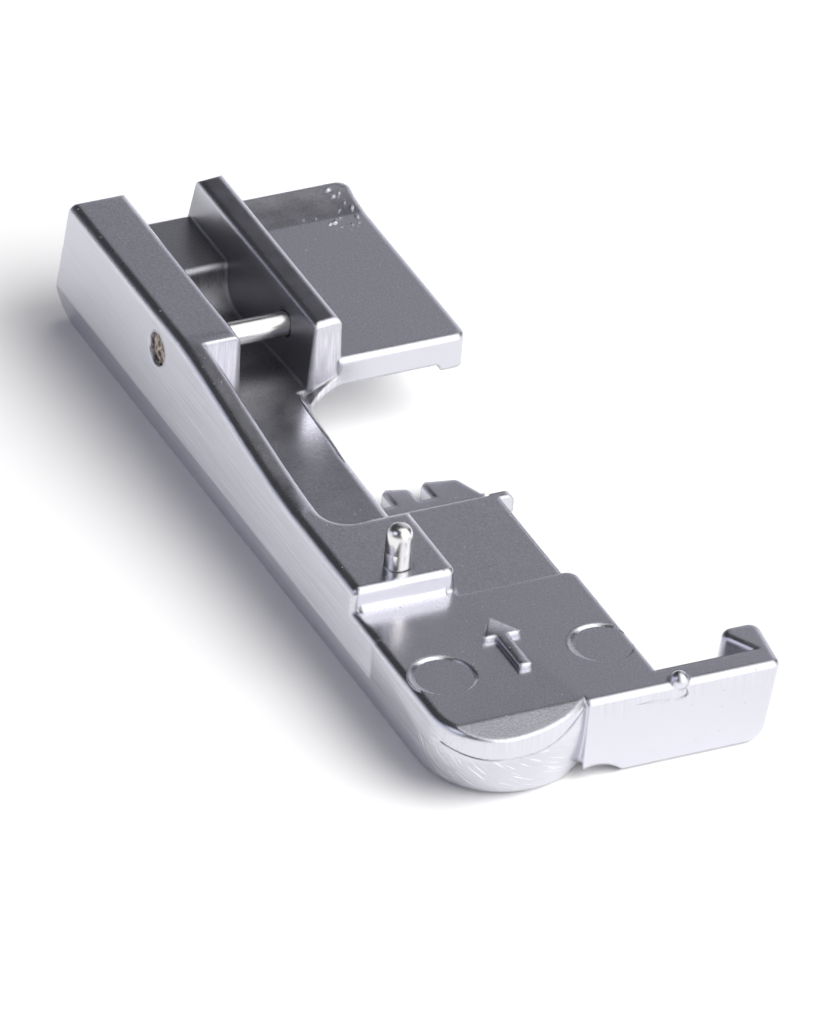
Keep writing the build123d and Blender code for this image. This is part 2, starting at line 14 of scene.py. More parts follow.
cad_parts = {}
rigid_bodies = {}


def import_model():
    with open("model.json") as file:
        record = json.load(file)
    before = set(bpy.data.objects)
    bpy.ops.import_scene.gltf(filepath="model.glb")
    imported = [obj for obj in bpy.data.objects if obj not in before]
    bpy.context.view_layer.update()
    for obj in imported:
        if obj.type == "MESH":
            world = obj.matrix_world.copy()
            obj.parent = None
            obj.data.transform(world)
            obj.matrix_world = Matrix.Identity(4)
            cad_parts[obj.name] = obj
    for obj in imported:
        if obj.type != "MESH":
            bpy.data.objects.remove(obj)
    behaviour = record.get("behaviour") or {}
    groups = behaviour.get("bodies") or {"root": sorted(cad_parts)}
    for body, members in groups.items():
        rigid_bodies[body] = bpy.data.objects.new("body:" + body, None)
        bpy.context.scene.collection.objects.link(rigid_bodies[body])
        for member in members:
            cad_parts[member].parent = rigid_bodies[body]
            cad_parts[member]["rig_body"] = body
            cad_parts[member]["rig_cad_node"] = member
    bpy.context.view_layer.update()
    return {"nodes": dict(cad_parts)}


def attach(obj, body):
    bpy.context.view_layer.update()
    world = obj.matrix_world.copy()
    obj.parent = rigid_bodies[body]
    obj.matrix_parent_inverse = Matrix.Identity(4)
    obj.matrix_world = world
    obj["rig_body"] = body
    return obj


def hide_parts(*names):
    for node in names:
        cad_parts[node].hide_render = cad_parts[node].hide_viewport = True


LOG = logging.getLogger("presser_foot")
MM = 0.001
BODY = "root"
# Where the foot's left side and its rear end lie in the shared frame, in mm.
FOOT_LEFT, FOOT_REAR = -7.922, 19.75
# Smallest angle between two faces that stays a sharp edge, on the small pieces.
SOFT_ANGLE = math.radians(60)
FIRM_ANGLE = math.radians(50)

Socket = bpy.types.NodeSocket
Range = tuple[float, float]
Triple = tuple[float, float, float]
Corners = tuple[Triple, Triple]

# Lines on the casting, in the foot's own mm: from its left side, from its rear end and upwards.
TOE_FOLD = (
    (0.12, 37.75, 3.08),
    (0.20, 37.96, 3.06),
    (0.63, 38.62, 2.95),
    (1.19, 39.11, 2.83),
    (1.76, 39.38, 2.78),
    (2.39, 39.51, 2.77),
    (3.39, 39.47, 2.71),
    (4.40, 39.29, 2.76),
    (5.35, 38.98, 3.08),
    (6.02, 38.67, 3.48),
    (6.37, 38.47, 3.73),
)
CHANNEL_RIM = (
    (5.44, 13.14, 3.11),
    (5.47, 13.68, 3.04),
    (5.50, 14.22, 2.96),
    (5.51, 14.82, 2.89),
    (5.56, 15.41, 2.80),
    (5.60, 15.99, 2.70),
    (5.60, 16.59, 2.62),
    (5.56, 17.42, 2.61),
)
BEAD_RIDGE = (
    (8.75, 38.49, 3.36),
    (9.43, 38.50, 3.38),
    (10.20, 38.50, 3.26),
    (11.00, 38.51, 3.22),
    (11.25, 38.52, 3.45),
    (11.05, 38.50, 3.75),
)


class Slot(Enum):
    """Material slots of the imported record."""

    CASTING = "casting"
    PIN_STEEL = "pin_steel"


class NodeMaker:
    """Adds and joins shader nodes in one node tree."""

    def __init__(self, tree: bpy.types.NodeTree) -> None:
        """Starts from an empty tree.

        Args:
            tree: the material's or world's node tree, which is cleared.
        """
        self.tree = tree
        tree.nodes.clear()

    def add(self, kind: str, settings: dict | None = None, **sockets: object) -> bpy.types.Node:
        """Adds a node.

        Args:
            kind: the node's type name without its ShaderNode prefix.
            settings: properties of the node, such as an operation.
            sockets: input values or output sockets, by the input's name with _ for a space.

        Returns:
            The new node.
        """
        node = self.tree.nodes.new("ShaderNode" + kind)
        for name, value in (settings or {}).items():
            setattr(node, name, value)
        for name, value in sockets.items():
            self.feed(node.inputs[name.replace("_", " ")], value)
        return node

    def feed(self, socket: Socket, value: object) -> None:
        """Links an output socket to an input, or sets the input's own value.

        Args:
            socket: the input socket.
            value: an output socket, or a plain value.
        """
        if isinstance(value, Socket):
            self.tree.links.new(value, socket)
        else:
            socket.default_value = value

    def math(self, operation: str, *values: object) -> Socket:
        """Adds a Math node on the given values and returns its output."""
        node = self.add("Math", {"operation": operation})
        for socket, value in zip(node.inputs, values):
            self.feed(socket, value)
        return node.outputs[0]

    def product(self, *factors: object) -> Socket:
        """Multiplies the factors one after the other and returns the result."""
        total = factors[0]
        for factor in factors[1:]:
            total = self.math("MULTIPLY", total, factor)
        return total

    def span(
        self, value: object, low: float, high: float, to_low: float = 0.0, to_high: float = 1.0
    ) -> Socket:
        """Maps a range of values smoothly onto another one.

        Args:
            value: the output socket to map.
            low: the value that becomes to_low.
            high: the value that becomes to_high.
            to_low: the result at and below low.
            to_high: the result at and above high.

        Returns:
            The mapped output.
        """
        node = self.add("MapRange", {"interpolation_type": "SMOOTHSTEP"})
        for socket, item in zip(node.inputs, (value, low, high, to_low, to_high)):
            self.feed(socket, item)
        return node.outputs[0]

    def place_in_mm(self) -> Socket:
        """Adds the piece's own coordinates in mm and returns them."""
        place = self.add("TexCoord").outputs["Object"]
        in_mm = self.add("VectorMath", {"operation": "SCALE"}, Vector=place, Scale=1 / MM)
        return in_mm.outputs[0]

    def noise(self, place: Socket, scale: float, detail: float) -> Socket:
        """Adds a Noise texture at a place and returns its value."""
        return self.add("TexNoise", Vector=place, Scale=scale, Detail=detail).outputs[0]

    def stretched(self, place: Socket, scale: Triple) -> Socket:
        """Scales a place differently along each axis and returns it."""
        return self.add("Mapping", Vector=place, Scale=scale).outputs[0]

    def dot(self, vector: Socket, way: object) -> Socket:
        """Adds the dot product of a vector with a fixed one and returns it."""
        node = self.add("VectorMath", {"operation": "DOT_PRODUCT"}, Vector=vector)
        node.inputs[1].default_value = way
        return node.outputs["Value"]

    def scaled(self, vector: object, factor: Socket) -> Socket:
        """Adds a fixed vector times a factor and returns it."""
        node = self.add("VectorMath", {"operation": "SCALE"}, Scale=factor)
        node.inputs[0].default_value = vector
        return node.outputs[0]

    def mix(self, factor: Socket, first: Triple, second: Triple) -> Socket:
        """Mixes two fixed colours.

        Args:
            factor: 0 for the first colour and 1 for the second.
            first: the colour at 0.
            second: the colour at 1.

        Returns:
            The mixed colour.
        """
        node = self.add("Mix", {"data_type": "RGBA"}, Factor=factor)
        sockets = [socket for socket in node.inputs if socket.type == "RGBA"]
        for socket, colour in zip(sockets, (first, second)):
            socket.default_value = (*colour, 1.0)
        return [socket for socket in node.outputs if socket.type == "RGBA"][0]

    def bump(
        self, height: Socket, depth_mm: float, strength: object = 1.0, **more: Socket
    ) -> Socket:
        """Turns a height into a normal.

        Args:
            height: the texture's value.
            depth_mm: the height of the value 1.
            strength: the bump's weight.
            more: the normal to start from, if it isn't the face's own.

        Returns:
            The new normal.
        """
        node = self.add("Bump", Height=height, Strength=strength, Distance=depth_mm * MM, **more)
        return node.outputs[0]

    def surface(self, **sockets: object) -> None:
        """Adds the shader with its inputs and the material's output."""
        shader = self.add("BsdfPrincipled", **sockets)
        self.add("OutputMaterial", Surface=shader.outputs[0])


def start_material(name: str) -> tuple[bpy.types.Material, NodeMaker]:
    """Adds an empty material.

    Args:
        name: the material's name.

    Returns:
        The material and the maker of its nodes.
    """
    made = bpy.data.materials.new(name)
    made.use_nodes = True
    return made, NodeMaker(made.node_tree)


@dataclass(frozen=True)
class Zones:
    """Places on the casting where its plating differs, and where shade is painted into its tint.

    Each pair of numbers says where a zone's weight becomes 0 and where it becomes 1, along one of
    the frame's axes in mm or along one part of the face's normal.
    """

    side_left: Range = (-6.2, -6.6)
    side_normal: Range = (0.6, 0.95)
    side_front: Range = (13.0, 5.0)
    side_rear_share: float = 0.35
    toe_top: Range = (2.85, 2.5)
    toe_rear: Range = (-15.4, -16.8)
    toe_right: Range = (-1.2, -4.6)
    slot_left: Range = (-5.3, -5.1)
    slot_right: Range = (-1.6, -1.8)
    slot_front: Range = (5.2, 7.6)
    slot_top: Range = (6.3, 6.05)
    front_normal: Range = (-0.75, -0.95)
    ear_front: Range = (4.0, 5.0)
    ear_right: Range = (-0.2, -0.4)
    wall_rear: Range = (-18.0, -18.4)
    wall_foot: Range = (2.6, 3.4)
    wall_share: float = 0.4
    heel_front: Range = (9.0, 19.0)
    top_normal: Range = (0.7, 0.95)

    def masks(self, maker: NodeMaker, place: Socket) -> dict[str, Socket]:
        """Works out each zone's weight.

        Args:
            maker: the material's node maker.
            place: the place on the casting in mm.

        Returns:
            The weight by the zone's name: side, heel, toe, slot, front or top.
        """
        x, y, z = maker.add("SeparateXYZ", Vector=place).outputs[:3]
        normal = maker.add("NewGeometry").outputs["Normal"]
        normal_x, normal_y, normal_z = maker.add("SeparateXYZ", Vector=normal).outputs[:3]
        side = maker.product(
            maker.span(maker.math("ABSOLUTE", normal_x), *self.side_normal),
            maker.span(x, *self.side_left),
            maker.span(y, *self.side_front, self.side_rear_share, 1.0),
        )
        ears = maker.product(maker.span(y, *self.ear_front), maker.span(x, *self.ear_right))
        wall = maker.product(
            maker.span(y, *self.wall_rear, 0.0, self.wall_share), maker.span(z, *self.wall_foot)
        )
        return {
            "side": side,
            # The heel: the rear of the left side, where the tint is darkened as painted shade.
            "heel": maker.product(side, maker.span(y, *self.heel_front)),
            "toe": maker.product(
                maker.span(z, *self.toe_top),
                maker.span(y, *self.toe_rear),
                maker.span(x, *self.toe_right),
            ),
            "slot": maker.product(
                maker.span(x, *self.slot_left),
                maker.span(x, *self.slot_right),
                maker.span(y, *self.slot_front),
                maker.span(z, *self.slot_top),
            ),
            "front": maker.product(
                maker.span(normal_y, *self.front_normal), maker.math("ADD", ears, wall)
            ),
            "top": maker.span(normal_z, *self.top_normal),
        }


@dataclass(frozen=True)
class PlatedFinish:
    """Bright plating over a polished die-casting.

    The left side shows lengthwise brush lines, the ears' fronts and the front wall's top show
    upright ones, and the toe's underside shows coarse grinding marks over painted shade that
    darkens it where no mark lies. The tops are finely speckled. The slot between the ears is
    rougher, because no polishing wheel reaches it, and its tint is darkened there as painted
    shade. The rear of the left side is darkened too, as painted shade.
    """

    name: str = "nickel plated casting"
    zones: Zones = Zones()
    tint: Triple = (0.665, 0.665, 0.722)
    roughness: Range = (0.215, 0.255)
    brushed_roughness: float = 0.17
    slot_roughness: float = 0.16
    # How far the tint is darkened in the slot between the ears, as painted shade.
    slot_painted_shade: float = 0.45
    # How far the tint is darkened at the rear of the left side, as painted shade.
    heel_painted_shade: float = 0.2
    cloud_per_mm: float = 0.9
    cloud_edges: Range = (0.3, 0.7)
    wave_per_mm: float = 0.28
    wave_depth_mm: float = 0.004
    grain_per_mm: float = 13.0
    grain_depth_mm: float = 0.002
    speckle_per_mm: float = 11.0
    speckle_shade: float = 0.4
    brush_per_mm: Triple = (12.0, 0.22, 12.0)
    brush_depth_mm: float = 0.004
    brush_shade: float = 0.5
    front_line_per_mm: Triple = (8.0, 8.0, 0.35)
    front_line_depth_mm: float = 0.004
    front_line_shade: float = 0.6
    grind_along_per_mm: float = 0.7
    grind_across_per_mm: float = 10.0
    grind_way: Triple = (0.682, -0.182, -0.708)
    grind_side: Triple = (0.531, -0.542, 0.651)
    grind_edges: Range = (0.54, 0.68)
    grind_depth_mm: float = 0.02
    grind_shade: float = 0.42
    # Texture level that leaves the tint alone: below it the toe's underside is darker, so it is
    # darkened by 0.12 where no grinding mark lies. The marks are real grinding; the darkening is
    # painted shade under the curl.
    grind_and_shade_middle: float = 0.2857
    pit_per_mm: float = 2.8
    pit_share_edges: Range = (0.8, 0.86)
    pit_size_edges: Range = (0.12, 0.05)
    pit_depth_mm: float = 0.02
    edge_softening_mm: float = 0.24
    edge_samples: int = 6

    def material(self) -> bpy.types.Material:
        """Builds the finish's material and returns it."""
        made, maker = start_material(self.name)
        place = maker.place_in_mm()
        masks = self.zones.masks(maker, place)
        brushing = maker.noise(maker.stretched(place, self.brush_per_mm), 1.0, 4.0)
        front_lines = maker.noise(maker.stretched(place, self.front_line_per_mm), 1.0, 3.0)
        grinding = self.grinding(maker, place)
        soft = maker.add(
            "Bevel", {"samples": self.edge_samples}, Radius=self.edge_softening_mm * MM
        )
        normal = soft.outputs[0]
        for height, depth, strength in (
            (maker.noise(place, self.wave_per_mm, 2.0), self.wave_depth_mm, 1.0),
            (maker.noise(place, self.grain_per_mm, 3.0), self.grain_depth_mm, 1.0),
            (self.pits(maker, place), self.pit_depth_mm, 1.0),
            (brushing, self.brush_depth_mm, masks["side"]),
            (front_lines, self.front_line_depth_mm, masks["front"]),
            (grinding, self.grind_depth_mm, masks["toe"]),
        ):
            normal = maker.bump(height, depth, strength, Normal=normal)
        speckle = maker.noise(place, self.speckle_per_mm, 1.0)
        shade = self.shade(
            maker,
            masks,
            (
                (brushing, 0.5, self.brush_shade, "side"),
                (front_lines, 0.5, self.front_line_shade, "front"),
                # Grinding marks on the toe's underside, over painted shade that darkens it where
                # no mark lies.
                (grinding, self.grind_and_shade_middle, self.grind_shade, "toe"),
                (speckle, 0.5, self.speckle_shade, "top"),
            ),
        )
        maker.surface(
            Base_Color=maker.scaled(self.tint, shade),
            Metallic=1.0,
            Roughness=self.rough(maker, place, masks),
            Normal=normal,
        )
        return made

    def grinding(self, maker: NodeMaker, place: Socket) -> Socket:
        """Coarse slanted grinding marks, as a noise stretched along their way."""
        along = maker.dot(place, [self.grind_along_per_mm * part for part in self.grind_way])
        across = maker.dot(place, [self.grind_across_per_mm * part for part in self.grind_side])
        joined = maker.add("CombineXYZ", X=along, Y=across).outputs[0]
        return maker.span(maker.noise(joined, 1.0, 2.0), *self.grind_edges)

    def pits(self, maker: NodeMaker, place: Socket) -> Socket:
        """Sparse tiny pits and dust specks under the plating."""
        cells = maker.add("TexVoronoi", Vector=place, Scale=self.pit_per_mm)
        share = maker.add("SeparateXYZ", Vector=cells.outputs["Color"]).outputs[0]
        return maker.product(
            maker.span(cells.outputs["Distance"], *self.pit_size_edges),
            maker.span(share, *self.pit_share_edges),
        )

    def rough(self, maker: NodeMaker, place: Socket, masks: dict[str, Socket]) -> Socket:
        """Works out how rough the plating is at each place.

        Args:
            maker: the material's node maker.
            place: the place on the casting in mm.
            masks: the zones' weights.

        Returns:
            The roughness.
        """
        cloud = maker.noise(place, self.cloud_per_mm, 4.0)
        total = maker.span(cloud, *self.cloud_edges, *self.roughness)
        for zone, gain in (("slot", self.slot_roughness), ("side", self.brushed_roughness)):
            total = maker.math("MULTIPLY_ADD", masks[zone], gain, total)
        return total

    def shade(
        self,
        maker: NodeMaker,
        masks: dict[str, Socket],
        textures: tuple[tuple[Socket, float, float, str], ...],
    ) -> Socket:
        """Works out how much lighter or darker the plating is at each place, including painted
        shade in the slot, at the heel and under the toe.

        Args:
            maker: the material's node maker.
            masks: the zones' weights.
            textures: each texture with its middle value, its strength and its zone's name.

        Returns:
            The factor on the plating's tint.
        """
        total: Socket | float = 1.0
        for texture, middle, strength, zone in textures:
            change = maker.product(maker.math("SUBTRACT", texture, middle), strength)
            total = maker.math("MULTIPLY_ADD", change, masks[zone], total)
        # Painted shade: the tint is darkened in the slot between the ears and at the rear of the
        # left side.
        for zone, loss in (("slot", self.slot_painted_shade), ("heel", self.heel_painted_shade)):
            total = maker.math("MULTIPLY_ADD", masks[zone], -loss, total)
        return total


@dataclass(frozen=True)
class TurnedSteelFinish:
    """Bright turned steel of the pins, with fine turning lines."""

    name: str = "turned steel"
    tint: Triple = (0.8, 0.79, 0.79)
    roughness: Range = (0.2, 0.27)
    cloud_per_mm: float = 2.5
    cloud_edges: Range = (0.3, 0.7)
    line_per_mm: float = 7.0
    line_depth_mm: float = 0.001

    def material(self) -> bpy.types.Material:
        """Builds the finish's material and returns it."""
        made, maker = start_material(self.name)
        place = maker.place_in_mm()
        cloud = maker.noise(place, self.cloud_per_mm, 3.0)
        maker.surface(
            Base_Color=(*self.tint, 1.0),
            Metallic=1.0,
            Roughness=maker.span(cloud, *self.cloud_edges, *self.roughness),
            Normal=maker.bump(maker.noise(place, self.line_per_mm, 3.0), self.line_depth_mm),
        )
        return made


@dataclass(frozen=True)
class PeenedEndFinish:
    """Brown, rough end of the hinge pin, with bright hammered spots."""

    name: str = "peened brown steel"
    dark: Triple = (0.09, 0.075, 0.065)
    light: Triple = (0.5, 0.43, 0.37)
    metallic: float = 0.9
    roughness: float = 0.34
    patch_per_mm: float = 3.4
    patch_edges: Range = (0.4, 0.6)
    patch_depth_mm: float = 0.05

    def material(self) -> bpy.types.Material:
        """Builds the finish's material and returns it."""
        made, maker = start_material(self.name)
        patches = maker.noise(maker.place_in_mm(), self.patch_per_mm, 4.0)
        maker.surface(
            Base_Color=maker.mix(maker.span(patches, *self.patch_edges), self.dark, self.light),
            Metallic=self.metallic,
            Roughness=self.roughness,
            Normal=maker.bump(patches, self.patch_depth_mm),
        )
        return made


def dress(piece: bpy.types.Object, material: bpy.types.Material) -> None:
    """Gives every face of a piece one material.

    Args:
        piece: the mesh object.
        material: the finish's material.
    """
    slots = piece.material_slots
    if not slots:
        piece.data.materials.append(material)
    for slot in slots:
        slot.material = material


def settle(piece: bpy.types.Object, material: bpy.types.Material) -> None:
    """Dresses a new piece and makes it part of the foot.

    Args:
        piece: the mesh object.
        material: the finish's material.
    """
    dress(piece, material)
    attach(piece, BODY)


def select_only(piece: bpy.types.Object) -> None:
    """Makes one object the active and only selected one.

    Args:
        piece: the object to select.
    """
    bpy.ops.object.select_all(action="DESELECT")
    piece.select_set(True)
    bpy.context.view_layer.objects.active = piece


def row(x: float, forward: float, height: float) -> Vector:
    """Turns a place in the foot's own millimetres into the frame's metres.

    Args:
        x: distance from the foot's left side.
        forward: distance from its rear end.
        height: height over the table.

    Returns:
        The place in the shared frame.
    """
    return Vector((x + FOOT_LEFT, FOOT_REAR - forward, height)) * MM


def pick(piece: bpy.types.Object, corner: Triple, opposite: Triple) -> int:
    """Selects, in edit mode, only the vertices inside a box.

    Args:
        piece: the object in edit mode.
        corner: one corner of the box, in the foot's own mm.
        opposite: the opposite corner.

    Returns:
        How many vertices are selected.
    """
    ends = [sorted(pair) for pair in zip(row(*corner), row(*opposite))]
    bpy.ops.mesh.select_all(action="DESELECT")
    bpy.ops.object.mode_set(mode="OBJECT")
    count = 0
    for vertex in piece.data.vertices:
        inside = all(low <= place <= high for place, (low, high) in zip(vertex.co, ends))
        vertex.select = inside
        count += inside
    bpy.ops.object.mode_set(mode="EDIT")
    return count


def add_circle(
    name: str,
    centre: Vector,
    radius: float,
    vertices: int,
    fill: str = "NGON",
    rotation: Triple = (0.0, 0.0, 0.0),
) -> bpy.types.Object:
    """Adds a flat circle and leaves it in edit mode with all of it selected.

    Args:
        name: the new piece's name.
        centre: its centre in the shared frame.
        radius: its radius in mm.
        vertices: how many corners it has.
        fill: NGON for a disc, or NOTHING for a bare line.
        rotation: its turn from the horizontal.

    Returns:
        The new piece.
    """
    bpy.ops.object.select_all(action="DESELECT")
    bpy.ops.mesh.primitive_circle_add(
        vertices=vertices, radius=radius * MM, fill_type=fill, location=centre, rotation=rotation
    )
    piece = bpy.context.view_layer.objects.active
    piece.name = name
    bpy.ops.object.transform_apply(location=True, rotation=True, scale=True)
    bpy.ops.object.mode_set(mode="EDIT")
    bpy.ops.mesh.select_all(action="SELECT")
    return piece


def raise_end(step: Triple, share: Triple, centre: Vector) -> None:
    """Extrudes the selection and scales its new end.

    Args:
        step: how far the new end moves, in metres.
        share: its new size over its old one along each axis.
        centre: the point that it is scaled about.
    """
    bpy.ops.mesh.extrude_region_move(TRANSFORM_OT_translate={"value": step})
    bpy.ops.transform.resize(value=share, center_override=centre)


@dataclass
class Casting:
    """The plated die-casting, as a smooth-shaded skin over the CAD casting's own surface."""

    node: bpy.types.Object
    finish: PlatedFinish = field(default_factory=PlatedFinish)
    merge_distance_mm: float = 0.002
    flat_angle: float = math.radians(0.6)
    crease_angle: float = math.radians(21)
    seam_corners: Corners = ((0.6, 33.7, -0.05), (1.0, 34.3, 0.05))
    seam_distance_mm: float = 0.12
    strip_break_corners: Corners = ((7.4, 1.55, 3.9), (14.0, 1.65, 5.0))
    strip_sink_mm: float = 0.17
    strip_foot_corners: Corners = ((7.4, 3.15, 3.9), (14.0, 3.25, 5.0))
    strip_pull_mm: float = 0.5
    strip_crease_corners: Corners = ((7.4, 2.65, 4.3), (13.3, 2.75, 5.0))
    ear_top_corners: Corners = ((5.2, -1.0, 6.05), (7.6, 14.0, 6.5))
    ear_turn_centre: Triple = (7.2, 6.0, 6.4)
    ear_tilt: float = math.radians(5)
    wall_end_corners: Corners = ((6.55, 38.45, 0.7), (6.65, 38.55, 3.68))
    wall_round_mm: float = 0.15
    wall_round_segments: int = 3

    def build(self) -> bpy.types.Object:
        """Copies the casting's mesh, joins its triangles, eases a few forms and shades it.

        Returns:
            The casting's skin, which stands for the CAD node.
        """
        select_only(self.node)
        bpy.ops.object.duplicate()
        skin = bpy.context.view_layer.objects.active
        skin.name = "casting"
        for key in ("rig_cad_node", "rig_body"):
            if key in skin:
                del skin[key]
        select_only(skin)
        bpy.ops.mesh.customdata_custom_splitnormals_clear()
        bpy.ops.object.mode_set(mode="EDIT")
        bpy.ops.mesh.select_mode(type="VERT")
        bpy.ops.mesh.select_all(action="SELECT")
        bpy.ops.mesh.remove_doubles(threshold=self.merge_distance_mm * MM)
        self.close_sole_seam(skin)
        self.slope_wing_strip(skin)
        self.tilt_right_ear(skin)
        bpy.ops.mesh.select_all(action="SELECT")
        bpy.ops.mesh.dissolve_limited(angle_limit=self.flat_angle)
        self.round_wall_end(skin)
        bpy.ops.object.mode_set(mode="OBJECT")
        bpy.ops.object.shade_smooth_by_angle(angle=self.crease_angle)
        self.crease_strip_foot(skin)
        weighted = skin.modifiers.new("weighted normals", "WEIGHTED_NORMAL")
        weighted.keep_sharp = True
        bpy.ops.object.modifier_apply(modifier=weighted.name)
        settle(skin, self.finish.material())
        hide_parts("foot_body")
        return skin

    def close_sole_seam(self, skin: bpy.types.Object) -> None:
        """Merges the slivers where the cord groove leaves the toe's sole."""
        if pick(skin, *self.seam_corners):
            bpy.ops.mesh.remove_doubles(threshold=self.seam_distance_mm * MM)
            bpy.ops.mesh.dissolve_degenerate(threshold=self.seam_distance_mm * MM)

    def slope_wing_strip(self, skin: bpy.types.Object) -> None:
        """Lets the wing's rear strip fall evenly towards the front."""
        if pick(skin, *self.strip_break_corners):
            bpy.ops.transform.translate(value=(0, 0, -self.strip_sink_mm * MM))
        if pick(skin, *self.strip_foot_corners):
            bpy.ops.transform.translate(value=(0, self.strip_pull_mm * MM, 0))

    def tilt_right_ear(self, skin: bpy.types.Object) -> None:
        """Turns the right ear's narrow top a little towards the slot."""
        if pick(skin, *self.ear_top_corners):
            bpy.ops.transform.rotate(
                value=self.ear_tilt, orient_axis="Y", center_override=row(*self.ear_turn_centre)
            )

    def round_wall_end(self, skin: bpy.types.Object) -> None:
        """Rounds the front wall's left end, where it steps out of the toe's face."""
        if pick(skin, *self.wall_end_corners):
            bpy.ops.mesh.bevel(
                offset=self.wall_round_mm * MM, segments=self.wall_round_segments, affect="EDGES"
            )

    def crease_strip_foot(self, skin: bpy.types.Object) -> None:
        """Keeps the line crisp where the wing's strip meets its flat part."""
        bpy.ops.object.mode_set(mode="EDIT")
        if pick(skin, *self.strip_crease_corners):
            bpy.ops.mesh.mark_sharp()
        bpy.ops.object.mode_set(mode="OBJECT")


@dataclass
class FeedArrow:
    """Plain raised arrow on the plate, that shows which way the cloth is fed."""

    tail: tuple[float, float] = (5.14, 35.4)
    length: float = 3.6
    shaft_width: float = 0.52
    head_width: float = 1.75
    head_length: float = 1.35
    tip_width: float = 0.12
    start: float = 0.3
    barb_depth: float = 0.02
    plate_top: float = 4.0
    height: float = 0.24
    seat: float = 0.05
    rounding: float = 0.1
    rounding_segments: int = 4
    rounding_angle: float = math.radians(40)

    def build(self, material: bpy.types.Material) -> bpy.types.Object:
        """Draws the arrow flat, raises it and rounds its edges.

        Args:
            material: the casting's finish.

        Returns:
            The arrow.
        """
        x, forward = self.tail
        first = row(x, forward - self.start / 2, self.plate_top - self.seat)
        bpy.ops.object.select_all(action="DESELECT")
        bpy.ops.mesh.primitive_plane_add(size=MM, location=first)
        arrow = bpy.context.view_layer.objects.active
        arrow.name = "feed_arrow"
        arrow.scale = (self.shaft_width, self.start, 1.0)
        bpy.ops.object.transform_apply(location=True, rotation=True, scale=True)
        bpy.ops.object.mode_set(mode="EDIT")
        self.extend(arrow, self.length - self.head_length - self.start, 1.0)
        self.extend(arrow, self.barb_depth, self.head_width / self.shaft_width)
        head = self.head_length - self.barb_depth
        self.extend(arrow, head, self.tip_width / self.head_width)
        bpy.ops.mesh.select_all(action="SELECT")
        bpy.ops.mesh.extrude_region_move(
            TRANSFORM_OT_translate={"value": (0, 0, (self.height + self.seat) * MM)}
        )
        bpy.ops.mesh.select_all(action="SELECT")
        bpy.ops.mesh.normals_make_consistent(inside=False)
        bpy.ops.object.mode_set(mode="OBJECT")
        bevel = arrow.modifiers.new("rounded edges", "BEVEL")
        bevel.width = self.rounding * MM
        bevel.segments = self.rounding_segments
        bevel.limit_method = "ANGLE"
        bevel.angle_limit = self.rounding_angle
        bpy.ops.object.modifier_apply(modifier=bevel.name)
        bpy.ops.object.shade_smooth_by_angle(angle=FIRM_ANGLE)
        settle(arrow, material)
        return arrow

    def extend(self, arrow: bpy.types.Object, step: float, widen: float) -> None:
        """Extrudes the arrow's rearmost edge and widens or narrows it.

        Args:
            arrow: the arrow in edit mode.
            step: how far the edge goes to the rear, in mm.
            widen: the edge's new width over its old one.
        """
        bpy.ops.mesh.select_all(action="DESELECT")
        bpy.ops.object.mode_set(mode="OBJECT")
        rear = max(vertex.co.y for vertex in arrow.data.vertices)
        for vertex in arrow.data.vertices:
            vertex.select = vertex.co.y > rear - 0.001 * MM
        for line in arrow.data.edges:
            line.select = all(arrow.data.vertices[end].select for end in line.vertices)
        bpy.ops.object.mode_set(mode="EDIT")
        raise_end((0, step * MM, 0), (widen, 1, 1), row(*self.tail, 0))


@dataclass
class WitnessRing:
    """Fine ring that an ejector pin of the die left on the plate.

    The profile runs from the ring's outer foot to its inner one. Each pair says how far a corner
    lies outside the ring's circle and above the plate. It rises slowly and drops at the circle.
    """

    name: str
    centre: tuple[float, float]
    diameter: float = 2.55
    segments: int = 72
    plate_top: float = 4.0
    profile: tuple[Range, ...] = ((0.3, -0.04), (0.3, -0.002), (0.0, 0.014), (-0.07, -0.04))
    lean: float = math.radians(0.6)
    cut_at: float | None = None

    def build(self, material: bpy.types.Material) -> bpy.types.Object:
        """Draws the ring's low step round its circle and cuts it off at the plate's edge.

        Args:
            material: the casting's finish.

        Returns:
            The ring.
        """
        radius, (out, height) = self.diameter / 2, self.profile[0]
        foot = row(*self.centre, self.plate_top + height)
        centre = row(*self.centre, self.plate_top)
        ring = add_circle(self.name, foot, radius + out, self.segments, "NOTHING")
        for next_out, next_height in self.profile[1:]:
            share = (radius + next_out) / (radius + out)
            raise_end((0, 0, (next_height - height) * MM), (share, share, 1), centre)
            out, height = next_out, next_height
        bpy.ops.mesh.select_all(action="DESELECT")
        bpy.ops.mesh.select_non_manifold()
        bpy.ops.mesh.bridge_edge_loops()
        bpy.ops.mesh.select_all(action="SELECT")
        bpy.ops.mesh.normals_make_consistent(inside=False)
        bpy.ops.transform.rotate(value=-self.lean, orient_axis="X", center_override=centre)
        if self.cut_at is not None:
            self.cut_off()
        bpy.ops.object.mode_set(mode="OBJECT")
        bpy.ops.object.shade_smooth_by_angle(angle=SOFT_ANGLE)
        settle(ring, material)
        return ring

    def cut_off(self) -> None:
        """Removes what lies past the cut and closes the two cut ends."""
        bpy.ops.mesh.select_all(action="SELECT")
        bpy.ops.mesh.bisect(
            plane_co=row(self.cut_at, 0, 0), plane_no=(1, 0, 0), clear_outer=True
        )
        bpy.ops.mesh.select_mode(type="EDGE")
        bpy.ops.mesh.select_all(action="DESELECT")
        bpy.ops.mesh.select_non_manifold(
            use_wire=False, use_multi_face=False, use_non_contiguous=False
        )
        bpy.ops.mesh.edge_face_add()
        bpy.ops.mesh.select_all(action="SELECT")
        bpy.ops.mesh.delete_loose()


